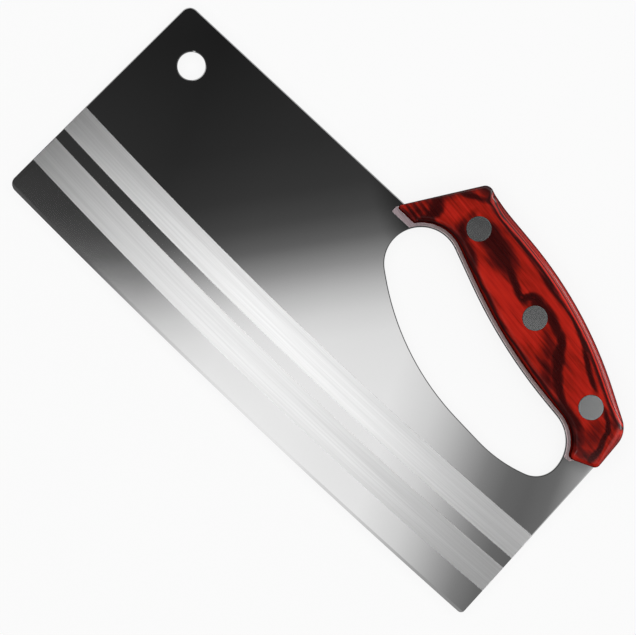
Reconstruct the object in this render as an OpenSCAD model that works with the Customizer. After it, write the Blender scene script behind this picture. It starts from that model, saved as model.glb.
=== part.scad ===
// Chinese slicing cleaver with a saw-type handle. One steel sheet makes the blade and a tang that
// closes into a loop round the finger opening. On each side of the loop lie a liner plate and a
// shaped wood scale, and three two-part rivets hold the stack together.
//
// The outlines are drawn in the heel frame: its origin is the corner where the lines of the spine
// and the heel side meet, X runs along the spine away from the front, Y from the cutting edge to
// the handle, and Z is square to the sheet with 0 in the middle of its thickness. placed() then
// lays the knife flat, with the origin under the middle of its bounding box.

/* [Blade] */
// Length of the spine's line from the front side to the heel side
spine_len = 293; // [270:1:330]
// Height of the blade at its front side
front_h = 122.5; // [105:0.5:150]
// Height of the blade at its heel side
heel_h = 125.5; // [105:0.5:150]
// How far the front side leans out at the cutting edge
front_lean = 4.8; // [1:0.2:12]
// How far the heel side leans out at the cutting edge
heel_lean = 2; // [0.4:0.2:8]
// Depth of the cutting edge's shallow curve
edge_belly = 2.5; // [1:0.1:8]
// Corner radius between the spine and the front side
spine_corner_r = 4.8; // [1:0.2:12]
// Corner radius between the front side and the cutting edge
front_corner_r = 4.4; // [1:0.2:10]
// Corner radius between the cutting edge and the heel side
heel_corner_r = 2.2; // [0.6:0.2:6]
// Thickness of the steel sheet
sheet_t = 2.2; // [1.6:0.1:3]

/* [Grind] */
// How far below the spine the blade starts to taper
grind_drop = 80.5; // [68:0.5:95]
// Thickness behind the cutting bevel
grind_t = 0.7; // [0.4:0.05:1.2]
// Width of the cutting bevel on each side
bevel_w = 1.2; // [0.6:0.1:2.5]
// Thickness of the cutting edge itself
edge_t = 0.1; // [0.06:0.02:0.3]

/* [Hanging hole] */
// Diameter of the hanging hole
hang_d = 13.5; // [8:0.5:20]
// Distance of the hanging hole from the front side's corner, along the spine
hang_back = 21; // [14:0.5:40]
// Distance of the hanging hole below the spine
hang_drop = 21.2; // [14:0.2:40]

/* [Finger opening] */
// Width of the steel strap between the opening and the heel side
strap_w = 12.9; // [9:0.1:20]
// How far the opening reaches below the spine
opening_drop = 59.9; // [54:0.1:68]
// Height above the spine at which the grip's line meets the opening's front line
grip_front_y = 10.8; // [6:0.2:14]
// How far the grip's swell lies below the spine
swell_drop = 19.3; // [15:0.1:21]
// How far below the spine the grip's line meets the strap
grip_heel_drop = 26.9; // [22:0.1:30]
// Radius of the opening's arch at the front of the grip
front_arch_r = 18; // [12:0.5:20]
// Radius of the palm swell on the inner side of the grip
swell_r = 260; // [120:10:400]
// Radius of the opening's arch at the toe of the grip
heel_arch_r = 19.5; // [10:0.5:22]
// Radius at the front end of the opening's floor
floor_front_r = 17.5; // [8:0.5:24]
// Radius of the floor's long sweep
floor_sweep_r = 130; // [60:5:180]
// Radius of the floor near the heel
floor_heel_r = 70; // [20:5:100]
// Radius between the floor and the strap
strap_r = 13; // [6:0.5:18]

/* [Handle outline] */
// Length of the handle along the spine, from its front foot to the heel side
handle_len = 151.5; // [130:0.5:170]
// Length of the handle's foot, from its front side to the finger opening
foot_len = 7.2; // [5:0.1:12]
// Lean of the handle's front side, measured from the spine
front_angle = 56; // [48:1:66]
// Height of the handle's front corner above the spine
handle_rise = 33.6; // [28:0.2:42]
// Distance from the front corner to the hollow behind it
hollow_run = 13; // [8:0.5:20]
// How far the hollow lies below the front corner
hollow_fall = 3.3; // [1:0.1:5]
// Distance of the back's crown from the heel side
crown_run = 54.7; // [45:0.5:65]
// Height of the back's crown above the spine
crown_y = 22.7; // [20:0.1:27]
// How far below the spine the back meets the heel side
shoulder_drop = 8.4; // [4:0.2:14]
// How far below the spine the toe meets the heel side
toe_drop = 30.5; // [26:0.5:34]
// How far the toe's inner corner hangs below its heel corner
toe_fall = 5.4; // [2:0.2:8]
// How far below the spine the scale's front end reaches
foot_drop = 3.8; // [2:0.2:6]
// Corner radius at the top of the front side
front_top_r = 4; // [2:0.5:8]
// Radius of the hollow
hollow_r = 120; // [40:5:200]
// Radius of the back's long curve
back_r = 210; // [120:5:260]
// Corner radius at the shoulder
shoulder_r = 12; // [6:0.5:18]
// Corner radius at the toe's heel corner
toe_r = 3; // [1.5:0.5:5]
// Corner radius at the toe's inner corner
toe_tip_r = 2.5; // [1:0.25:4]
// Corner radius at the scale's front end
foot_r = 1; // [0.6:0.1:2]

/* [Liners] */
// Thickness of each liner plate
liner_t = 1.5; // [0.8:0.1:2.5]
// Width of sheet left bare between the opening and the liner
liner_setback = 0.7; // [0.1:0.1:1.5]
// Length of liner that shows at the scale's front end
liner_front_step = 2.9; // [1:0.1:5]
// Length of liner that shows below the toe
liner_toe_step = 0.8; // [0.4:0.1:3]
// Distance from the strap's inner side to the end of the liner's toe
liner_toe_w = 3.6; // [2:0.2:6]
// Corner radius at the end of the liner's toe
liner_toe_r = 2; // [0.6:0.2:3]

/* [Scales] */
// Thickness of each wood scale
scale_t = 8.5; // [6.5:0.5:12]
// Width of liner left bare along the inner side of the grip
scale_setback = 1.4; // [0.4:0.1:2]
// Width of the rounded edge along the back
back_round = 6.2; // [3:0.2:7]
// Width of the rounded edge at the shoulder
shoulder_round = 5.6; // [3:0.2:7]
// Width of the rounded edge along the grip's inner side
grip_round = 3.6; // [2:0.2:5]
// Width of the rounded edge at the front corner and the two arches
arch_round = 2.6; // [1.5:0.2:4]
// Width of the rounded edge at the toe
toe_round = 1.8; // [0.8:0.2:3]
// Width of the rounded edge at the front end
foot_round = 0.8; // [0.4:0.1:1.5]
// Fall of a rounded edge for each millimetre of its width
round_fall = 0.8; // [0.6:0.05:1]

/* [Rivets] */
// Distance of the top rivet from the handle's front foot
rivet_front_inset = 33.4; // [30:0.2:38]
// Height of the top rivet above the spine
rivet_top_y = 14.6; // [12:0.2:17]
// Distance of the bottom rivet from the heel side
rivet_heel_inset = 21.5; // [17:0.5:26]
// How far the bottom rivet lies below the spine
rivet_bottom_drop = 11.2; // [9:0.2:13]
// Diameter of a rivet's head
head_d = 12; // [9:0.1:14]
// Thickness of a rivet's head
head_t = 2; // [1.2:0.1:3]
// Outer diameter of a rivet's sleeve
sleeve_d = 6; // [5:0.1:8]
// Diameter of a rivet's pin
pin_d = 4; // [2.5:0.1:4.4]
// Space between the end of a sleeve and the other half's head
sleeve_gap = 1.5; // [0.5:0.1:3]
// Space between the end of a pin and the bottom of its bore
pin_gap = 1; // [0.4:0.1:3]

/* [Clearances] */
// Clearance round a sleeve, on the radius
sleeve_clear = 0.1; // [0.05:0.05:0.3]
// Clearance round a rivet's head, on the radius
head_clear = 0.05; // [0.02:0.01:0.2]
// Clearance between a pin and its sleeve, on the radius
pin_clear = 0.03; // [0.02:0.01:0.1]

/* [Fineness] */
// How far a flat may stray from the arc it follows
chord_error = 0.02; // [0.01:0.01:0.1]
// Number of flats across a scale's rounded edge
round_flats = 6; // [3:1:10]

/* [Hidden] */
$fn = 64;

// Colours of the materials
steel = [0.78, 0.78, 0.79];
liner_steel = [0.66, 0.64, 0.65];
rivet_grey = [0.45, 0.46, 0.46];
red_wood = [0.62, 0.1, 0.09];

// A length that runs past a face which it cuts
past = 1;
// Least radius at a corner that looks sharp
sharp_r = 0.4;
// Number of flats along the cutting edge
edge_flats = 24;
// Fragments of a full turn in the bevel's cut
bevel_fn = 1440;
// How much wider than the cutting edge the bevel's cut sweeps
bevel_overrun = 1.05;
// Widest rounded edge round a corner, as a share of the corner's radius
edge_share = 0.8;
// Straight length kept in front of the toe's inner corner, as a share of its radius
toe_lead = 1.5;
// The floor's low point and the start of its sweep, as shares of the opening's length from the heel
floor_low_at = 0.17;
sweep_at = 0.69;
// The swell of the grip, as a share of the opening's length from the heel
swell_at = 0.44;
// Heights of the floor's corners above its low point
sweep_rise = 4.3;
strap_rise = 7.4;
// Depth below the spine at which the opening's front line ends
front_line_drop = 24.3;

half_stack = sheet_t / 2 + liner_t + scale_t;
opening_len = handle_len - foot_len - strap_w;
shank_r = sleeve_d / 2 + sleeve_clear;

// Small helpers for points and directions
function xy(p) = [p.x, p.y];
function unit(v) = v / norm(v);
function left_of(v) = [-v.y, v.x];
function turned(v, angle) = [v.x * cos(angle) - v.y * sin(angle), v.x * sin(angle) + v.y * cos(angle)];
function before(list, i) = list[(i + len(list) - 1) % len(list)];
function after(list, i) = list[(i + 1) % len(list)];

// Angle to the left through which a closed outline turns at one of its corners
function turn_at(corners, i) =
    let (a = xy(corners[i] - before(corners, i)), b = xy(after(corners, i) - corners[i]))
    atan2(a.x * b.y - a.y * b.x, a.x * b.x + a.y * b.y);

// Distance from each corner to the ends of its fillet. Corners are [x, y, radius, ...]. Two
// fillets that would run into each other on one side are both shortened to fit it.
function tangents(corners) =
    let (wanted = [for (i = [0 : len(corners) - 1]) corners[i][2] * tan(abs(turn_at(corners, i)) / 2)])
    [for (i = [0 : len(corners) - 1])
        let (
            side_before = norm(xy(corners[i] - before(corners, i))),
            side_after = norm(xy(after(corners, i) - corners[i]))
        )
        wanted[i] * min(
            side_before / max(side_before, wanted[i] + before(wanted, i)),
            side_after / max(side_after, wanted[i] + after(wanted, i))
        )];

// Points [x, y, edge] of the fillet at one corner, where edge is the corner's fourth value: the width
// of the rounded edge there, which a corner that points outward limits by its own radius
function fillet(corners, i, tangent) =
    let (angle = turn_at(corners, i), corner = xy(corners[i]))
    tangent < chord_error || abs(angle) < 0.01
        ? [[corner.x, corner.y, corners[i][3]]]
        : let (
            heading = unit(corner - xy(before(corners, i))),
            radius = tangent / tan(abs(angle) / 2),
            edge = angle > 0 ? min(corners[i][3], edge_share * radius) : corners[i][3],
            start = corner - heading * tangent,
            centre = start + left_of(heading) * radius * sign(angle),
            flats = ceil(abs(angle) / (2 * acos(1 - min(0.5, chord_error / radius))))
        )
        [for (k = [0 : flats])
            let (p = centre + turned(start - centre, angle * k / flats))
            [p.x, p.y, edge]];

// All points of a closed outline with its fillets
function rounded(corners) =
    let (tangent = tangents(corners))
    [for (i = [0 : len(corners) - 1]) each fillet(corners, i, tangent[i])];

// The same closed outline moved to its left by a distance, with its radii changed to match
function shifted(corners, distance) =
    [for (i = [0 : len(corners) - 1])
        let (
            m = left_of(unit(xy(corners[i] - before(corners, i))))
                + left_of(unit(xy(after(corners, i) - corners[i]))),
            p = xy(corners[i]) + m * 2 * distance / (m * m)
        )
        [p.x, p.y, corners[i][2] - sign(turn_at(corners, i)) * distance, corners[i][3]]];

// Where a row of points crosses a height: X at its first and at its last crossing
function crossings(points, height) =
    [for (i = [0 : len(points) - 2])
        let (a = points[i], b = points[i + 1])
        if ((a.y - height) * (b.y - height) <= 0 && a.y != b.y)
            a.x + (b.x - a.x) * (height - a.y) / (b.y - a.y)];
function first_x(points, height) = crossings(points, height)[0];
function last_x(points, height) = let (x = crossings(points, height)) x[len(x) - 1];

// X of the heel side and of the handle's front side at a height
function heel_x(height) = -height * heel_lean / heel_h;
function front_x(height) = -handle_len + height / tan(front_angle);
// X at a share of the opening's length, counted from the strap
function opening_x(share) = -strap_w - share * opening_len;

// The finger opening, clockwise from the front of the grip. Its first three corners are the grip's.
opening = [
    [opening_x(1), grip_front_y, front_arch_r, arch_round],
    [opening_x(swell_at), -swell_drop, swell_r, grip_round],
    [opening_x(0), -grip_heel_drop, heel_arch_r, arch_round],
    [opening_x(0), strap_rise - opening_drop, strap_r, 0],
    [opening_x(floor_low_at), -opening_drop, floor_heel_r, 0],
    [opening_x(sweep_at), sweep_rise - opening_drop, floor_sweep_r, 0],
    [opening_x(1), -front_line_drop, floor_front_r, 0]
];

// The inner side of the grip, from the opening's front to the strap, at a distance from the opening.
// It starts and ends at the bare corners before and after it, so that it crosses every height.
function grip_line(distance) =
    let (corners = shifted(opening, distance), tangent = tangents(corners))
    [
        corners[len(corners) - 1],
        for (i = [0 : 2]) each fillet(corners, i, tangent[i]),
        corners[3]
    ];
// The part of it above one height in front of its peak and above another behind it, as corners
// without a radius
function grip_above(line, front_height, toe_height) =
    let (
        peak_y = max([for (p = line) p.y]),
        peak_x = [for (p = line) if (p.y == peak_y) p.x][0]
    )
    [for (p = line) if (p.y > (p.x < peak_x ? front_height : toe_height)) [p.x, p.y, 0, p.z]];

// The handle's outer side from the toe's heel corner back to the front foot, shared by the
// sheet, the liners and the scales, which are ground flush there
toe_heel = [heel_x(-toe_drop), -toe_drop, toe_r, toe_round];
outer_side = [
    [heel_x(-shoulder_drop), -shoulder_drop, shoulder_r, shoulder_round],
    [-crown_run, crown_y, back_r, back_round],
    [front_x(handle_rise) + hollow_run, handle_rise - hollow_fall, hollow_r, back_round],
    [front_x(handle_rise), handle_rise, front_top_r, arch_round]
];

// The scale: front foot, inner side of the grip, toe and outer side
scale_grip = grip_line(liner_setback + scale_setback);
scale_toe = -toe_drop - toe_fall;
scale_tip_x = last_x(scale_grip, scale_toe);
scale_outline = rounded(concat(
    [
        [front_x(-foot_drop), -foot_drop, foot_r, foot_round],
        [first_x(scale_grip, -foot_drop), -foot_drop, foot_r, foot_round]
    ],
    grip_above(scale_grip, foot_r - foot_drop, scale_toe + toe_lead * toe_tip_r),
    [[scale_tip_x, scale_toe, toe_tip_r, toe_round], toe_heel],
    outer_side
));

// The liner: like the scale, with a step that shows at the front and a short toe
liner_grip = grip_line(liner_setback);
liner_foot = -foot_drop - liner_front_step;
liner_toe = scale_toe - liner_toe_step;
liner_end_x = opening_x(0) + liner_toe_w;
// Height of the scale's lower end where the liner's toe runs under it
liner_end_y = scale_toe + toe_fall * (liner_end_x - scale_tip_x) / (toe_heel.x - scale_tip_x);
liner_outline = rounded(concat(
    [
        [front_x(-foot_drop), -foot_drop, 0, 0],
        [front_x(-foot_drop), liner_foot, sharp_r, 0],
        [first_x(liner_grip, liner_foot), liner_foot, 0, 0]
    ],
    grip_above(liner_grip, liner_foot, liner_toe),
    [
        [last_x(liner_grip, liner_toe), liner_toe, 0, 0],
        [liner_end_x, liner_toe, liner_toe_r, 0],
        [liner_end_x, liner_end_y, 0, 0],
        toe_heel
    ],
    outer_side
));

// The cutting edge, an arc between the two lower corners of the blade
edge_front = [-spine_len - front_lean, -front_h];
edge_heel = [heel_lean, -heel_h];
edge_chord = norm(edge_heel - edge_front);
edge_slope = atan2(edge_heel.y - edge_front.y, edge_heel.x - edge_front.x);
edge_r = edge_chord * edge_chord / (8 * edge_belly) + edge_belly / 2;
edge_half_angle = asin(edge_chord / 2 / edge_r);
edge_centre = (edge_front + edge_heel) / 2 + left_of(unit(edge_heel - edge_front)) * (edge_r - edge_belly);
function edge_point(share) =
    edge_centre + edge_r * turned([0, -1], edge_slope + edge_half_angle * (2 * share - 1));

// The sheet: front side, cutting edge, heel side, handle and spine
blade_outline = rounded(concat(
    [
        [-spine_len, 0, spine_corner_r, 0],
        [edge_front.x, edge_front.y, front_corner_r, 0]
    ],
    [for (k = [1 : edge_flats - 1]) let (p = edge_point(k / edge_flats)) [p.x, p.y, 0, 0]],
    [[edge_heel.x, edge_heel.y, heel_corner_r, 0]],
    outer_side,
    [[-handle_len, 0, sharp_r, 0]]
));

// Middle of the knife's bounding box in the heel frame
middle = [
    (min([for (p = blade_outline) p.x]) + max([for (p = blade_outline) p.x])) / 2,
    (min([for (p = blade_outline) p.y]) + max([for (p = blade_outline) p.y])) / 2
];
// The row of rivets: the two end ones are set in from the handle's ends, the third is halfway
rivet_start = [rivet_front_inset - handle_len, rivet_top_y];
rivet_end = [-rivet_heel_inset, -rivet_bottom_drop];
rivets = [rivet_start, (rivet_start + rivet_end) / 2, rivet_end];
top = 0;
centre = 1;
bottom = 2;

// Lays a piece down in the knife's resting place
module placed() {
    translate([-middle.x, -middle.y, half_stack]) children();
}

module flat(outline, thickness) {
    linear_extrude(thickness) polygon([for (p = outline) xy(p)]);
}

// The same thing on the front and on the back of the sheet
module both_faces() {
    children();
    mirror([0, 0, 1]) children();
}

// Holes for the rivets' shanks through everything
module shank_holes() {
    for (p = rivets)
        translate([p.x, p.y, -half_stack - past]) cylinder(h = 2 * (half_stack + past), r = shank_r);
}

// What the grinding wheel takes off one face, from the shoulder of the taper to past the edge
module taper_cut() {
    depth = heel_h + edge_belly;
    fall = (sheet_t - grind_t) / 2 / (depth - grind_drop);
    low = depth + bevel_w;
    translate([edge_front.x - past, 0, 0]) rotate([90, 0, 90])
        linear_extrude(edge_chord + 2 * past) polygon([
            [-grind_drop, sheet_t / 2],
            [-grind_drop, sheet_t],
            [-low, sheet_t],
            [-low, sheet_t / 2 - fall * (low - grind_drop)]
        ]);
}

// What the whetstone takes off one face: a very flat cone round the centre of the edge's arc
module bevel_cut() {
    fall = (grind_t - edge_t) / 2 / bevel_w;
    inner = edge_r - 2 * bevel_w;
    outer = edge_r + bevel_w;
    sweep = 2 * bevel_overrun * edge_half_angle;
    translate([edge_centre.x, edge_centre.y, 0])
        rotate([0, 0, edge_slope - 90 - sweep / 2])
            rotate_extrude(angle = sweep, $fn = bevel_fn) polygon([
                [inner, edge_t / 2 + fall * (edge_r - inner)],
                [outer, edge_t / 2 + fall * (edge_r - outer)],
                [outer, sheet_t],
                [inner, sheet_t]
            ]);
}

module blade() {
    color(steel) placed() difference() {
        translate([0, 0, -sheet_t / 2]) flat(blade_outline, sheet_t);
        translate([0, 0, -sheet_t / 2 - past]) flat(rounded(opening), sheet_t + 2 * past);
        translate([hang_back - spine_len, -hang_drop, -sheet_t / 2 - past])
            cylinder(h = sheet_t + 2 * past, d = hang_d);
        shank_holes();
        both_faces() {
            taper_cut();
            bevel_cut();
        }
    }
}

// Liner on the front face
module liner() {
    difference() {
        translate([0, 0, sheet_t / 2]) flat(liner_outline, liner_t);
        shank_holes();
    }
}
module liner_front() {
    color(liner_steel) placed() liner();
}
module liner_back() {
    color(liner_steel) placed() mirror([0, 0, 1]) liner();
}

// Direction into a counterclockwise outline at one of its points, as long as keeps its sides even
function inward(outline, i) =
    let (
        m = left_of(unit(xy(outline[i] - before(outline, i))))
            + left_of(unit(xy(after(outline, i) - outline[i])))
    )
    m * 2 / (m * m);

// What a router takes off a slab's top edge: a ring whose section at each point of the outline is
// the waste outside a quarter ellipse, as wide there as the point's third value
module edge_waste(outline, thickness) {
    count = len(outline);
    points = [for (i = [0 : count - 1])
        let (
            into = inward(outline, i),
            width = outline[i].z,
            fall = width * round_fall,
            section = [
                [-past, thickness - fall],
                for (k = [0 : round_flats])
                    let (angle = 90 * k / round_flats)
                    [width * (1 - cos(angle)), thickness - fall * (1 - sin(angle))],
                [width, thickness + past],
                [-past, thickness + past]
            ]
        )
        for (q = section) [each xy(outline[i]) + into * q.x, q.y]];
    sides = len(points) / count;
    faces = [for (i = [0 : count - 1], j = [0 : sides - 1])
        let (
            here = i * sides,
            there = (i + 1) % count * sides,
            k = (j + 1) % sides
        )
        each [[here + j, there + j, there + k], [here + j, there + k, here + k]]];
    polyhedron(points, faces);
}

// Scale on the front face, with seats for the rivets' heads
module scale_piece() {
    difference() {
        translate([0, 0, sheet_t / 2 + liner_t]) difference() {
            flat(scale_outline, scale_t);
            edge_waste(scale_outline, scale_t);
        }
        shank_holes();
        for (p = rivets)
            translate([p.x, p.y, half_stack - head_t]) cylinder(h = head_t + past, r = head_d / 2 + head_clear);
    }
}
module scale_front() {
    color(red_wood) placed() scale_piece();
}
module scale_back() {
    color(red_wood) placed() mirror([0, 0, 1]) scale_piece();
}

// Front half of a rivet: a head and a solid pin that is pressed into the sleeve
module post(i) {
    pin_end = head_t + pin_gap - half_stack;
    color(rivet_grey) placed() translate([rivets[i].x, rivets[i].y, 0]) union() {
        translate([0, 0, half_stack - head_t]) cylinder(h = head_t, d = head_d);
        translate([0, 0, pin_end]) cylinder(h = half_stack - head_t - pin_end, d = pin_d);
    }
}

// Back half of a rivet: a head and a sleeve, bored down to the head
module sleeve(i) {
    sleeve_end = half_stack - head_t - sleeve_gap;
    color(rivet_grey) placed() translate([rivets[i].x, rivets[i].y, 0]) difference() {
        union() {
            translate([0, 0, -half_stack]) cylinder(h = head_t, d = head_d);
            translate([0, 0, head_t - half_stack]) cylinder(h = sleeve_end + half_stack - head_t, d = sleeve_d);
        }
        translate([0, 0, head_t - half_stack])
            cylinder(h = sleeve_end + half_stack - head_t + past, r = pin_d / 2 + pin_clear);
    }
}
module rivet_top_post() post(top);
module rivet_top_sleeve() sleeve(top);
module rivet_middle_post() post(centre);
module rivet_middle_sleeve() sleeve(centre);
module rivet_bottom_post() post(bottom);
module rivet_bottom_sleeve() sleeve(bottom);

blade();
liner_front();
liner_back();
scale_front();
scale_back();
rivet_top_post();
rivet_top_sleeve();
rivet_middle_post();
rivet_middle_sleeve();
rivet_bottom_post();
rivet_bottom_sleeve();
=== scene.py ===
# %% [markdown]
# # A slicing cleaver with a saw-type grip
#
# The knife is one polished steel sheet whose tang closes into a loop round a finger opening. Steel
# liners, scales of laminated wood and three flush rivets build the grip on the loop. The solids are
# already there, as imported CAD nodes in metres. This lesson gives each of them broken edges, turned
# rivet heads and procedural finishes, and then sets up the studio that the photograph shows.

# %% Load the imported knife
import math

import bmesh
import bpy
from mathutils import Matrix, Vector


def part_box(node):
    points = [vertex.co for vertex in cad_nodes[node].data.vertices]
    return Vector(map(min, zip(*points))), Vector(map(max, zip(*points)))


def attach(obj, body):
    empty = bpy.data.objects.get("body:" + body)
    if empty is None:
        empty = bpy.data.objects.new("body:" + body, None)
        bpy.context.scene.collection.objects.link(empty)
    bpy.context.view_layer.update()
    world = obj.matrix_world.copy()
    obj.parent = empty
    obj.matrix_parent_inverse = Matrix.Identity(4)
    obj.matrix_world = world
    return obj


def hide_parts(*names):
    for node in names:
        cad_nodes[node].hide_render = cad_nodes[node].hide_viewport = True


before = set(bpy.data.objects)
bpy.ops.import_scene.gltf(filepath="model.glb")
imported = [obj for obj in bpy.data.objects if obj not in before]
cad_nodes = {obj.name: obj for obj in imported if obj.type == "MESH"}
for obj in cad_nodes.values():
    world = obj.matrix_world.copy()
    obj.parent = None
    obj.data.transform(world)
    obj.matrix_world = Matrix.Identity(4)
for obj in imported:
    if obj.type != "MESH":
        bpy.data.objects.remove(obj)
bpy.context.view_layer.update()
MM = 0.001
print("nodes:", sorted(cad_nodes))

# %% [markdown]
# ## Helpers for materials
#
# Colours are written as the sRGB hex values that a colour picker gives, and Blender wants them
# linear, so one function converts them. Another adds a shader node with its settings, its inputs,
# where an input may be a value or the output of an earlier node, and the stops of its ramp if it
# has one. A third starts a material and hands over its coordinates, in which all patterns are
# drawn.

# %% Helpers for colours, nodes and materials
def linear(hex_code):
    """Turns an sRGB hex colour into linear RGBA."""
    channels = [int(hex_code[i:i + 2], 16) / 255 for i in (1, 3, 5)]
    return [c / 12.92 if c <= 0.04045 else ((c + 0.055) / 1.055) ** 2.4 for c in channels] + [1.0]


def add_node(tree, kind, inputs=None, stops=(), **settings):
    """Adds a shader node, sets its properties and stops, and fills or links its inputs."""
    node = tree.nodes.new("ShaderNode" + kind)
    for name, value in settings.items():
        setattr(node, name, value)
    for name, value in (inputs or {}).items():
        socket = node.inputs[name]
        if isinstance(value, bpy.types.NodeSocket):
            tree.links.new(value, socket)
        else:
            socket.default_value = value
    if stops:
        elements = node.color_ramp.elements
        while len(elements) < len(stops):
            elements.new(1.0)
        for element, (position, shade) in zip(elements, stops):
            element.position = position
            element.color = linear(shade) if isinstance(shade, str) else (shade, shade, shade, 1.0)
    return node


def new_material(name):
    """Starts a material and returns it with its tree, its Principled shader and coordinates."""
    material = bpy.data.materials.new(name)
    material.use_nodes = True
    tree = material.node_tree
    return material, tree, tree.nodes["Principled BSDF"], add_node(tree, "TexCoord").outputs


print("half-bright grey in linear light:", round(linear("#808080")[0], 3))

# %% [markdown]
# ## Two satin bands on the sheet
#
# Two bands along the blade are ground with a belt and left satin. They could be separate faces, but
# on the real sheet they are only a change of finish, so a mask in the material draws them. The
# bands follow an arc of about 2.5 m radius, so the mask measures the height above that arc.

# %% Mask of the bands
BAND_ARC = 0.2002  # half the curvature of the arc, per metre
BAND_ARC_X = 39.2 * MM  # where the arc is lowest
BAND_LOW, BAND_HIGH = -70 * MM, -26 * MM  # heights between which the mask is drawn
BAND_EDGES = [(-65.9, -51.1), (-44.9, -30.3)]  # lower and upper side of each band, in mm
BAND_BLUR = 0.1 * MM  # half the width over which a side of a band fades


def height_over_arc(tree, place):
    """Height of a point of the sheet over the arc that the bands follow."""
    along = add_node(tree, "Math", {0: place.outputs["X"], 1: BAND_ARC_X}, operation="SUBTRACT")
    square = add_node(tree, "Math", {0: along.outputs[0], 1: 2.0}, operation="POWER")
    dip = add_node(tree, "Math", {0: square.outputs[0], 1: BAND_ARC}, operation="MULTIPLY")
    height = add_node(tree, "Math", {
        0: place.outputs["Y"], 1: dip.outputs[0]}, operation="SUBTRACT")
    return height.outputs[0]


def band_mask(tree, height):
    """White on the satin bands and black on the polished steel."""
    span = BAND_HIGH - BAND_LOW
    stops = [(0.0, 0.0)]
    for low, high in BAND_EDGES:
        start, end = (low * MM - BAND_LOW) / span, (high * MM - BAND_LOW) / span
        soft = BAND_BLUR / span
        stops += [(start - soft, 0.0), (start + soft, 1.0), (end - soft, 1.0), (end + soft, 0.0)]
    share = add_node(tree, "MapRange", {
        "Value": height, "From Min": BAND_LOW, "From Max": BAND_HIGH})
    mask = add_node(tree, "ValToRGB", {"Fac": share.outputs["Result"]}, stops=stops)
    return mask.outputs["Color"]


print("widths of the bands in mm:", [round(high - low, 1) for low, high in BAND_EDGES])

# %% [markdown]
# ## Scratches of the belt
#
# A belt grinder draws long fine scratches, and a few coarse grains in it leave wider streaks. Both
# are noises that are stretched along the sheet and bent along the same arc. Real scratches are
# 0.02 mm wide. Here they are 0.9 mm wide, because a pixel of the picture is 0.5 mm.

# %% Scratches and streaks
SCRATCH_WIDTH = 0.9 * MM
SCRATCH_LENGTH = 90 * MM
STREAK_WIDTH = 5 * SCRATCH_WIDTH
STREAK_LENGTH = 3 * SCRATCH_LENGTH


def belt_scratches(tree, place, height):
    """The scratches alone, which give the relief, and with the streaks, which give the tone."""
    lengthwise = add_node(tree, "CombineXYZ", {"X": place.outputs["X"], "Y": height})
    fine = add_node(tree, "Mapping", {
        "Vector": lengthwise.outputs[0], "Scale": (1 / SCRATCH_LENGTH, 1 / SCRATCH_WIDTH, 1.0)})
    scratches = add_node(tree, "TexNoise", {
        "Vector": fine.outputs[0], "Scale": 1.0, "Detail": 3.0, "Roughness": 0.65})
    wide = add_node(tree, "Mapping", {
        "Vector": lengthwise.outputs[0], "Scale": (1 / STREAK_LENGTH, 1 / STREAK_WIDTH, 1.0)})
    streaks = add_node(tree, "TexNoise", {"Vector": wide.outputs[0], "Scale": 1.0, "Detail": 1.0})
    both = add_node(tree, "Mix", {0: 0.3, 2: scratches.outputs["Fac"], 3: streaks.outputs["Fac"]})
    return scratches.outputs["Fac"], both.outputs[0]


print("scratches in mm:", round(SCRATCH_LENGTH / MM), "by", round(SCRATCH_WIDTH / MM, 1))

# %% [markdown]
# ## Polished stainless sheet
#
# The blade is stainless steel, ground and then polished to a mirror on a felt wheel, so it is a
# metal with hardly any roughness that shows whatever stands round it. The wheel runs along the
# sheet, and its traces smear reflections across it, which anisotropy does. On the bands the
# roughness goes up and the scratches show. The rims are only filed. Wherever the surface doesn't
# face up or down, its colour is darkened: a painted shade that draws dark lines round the rims.

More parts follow.
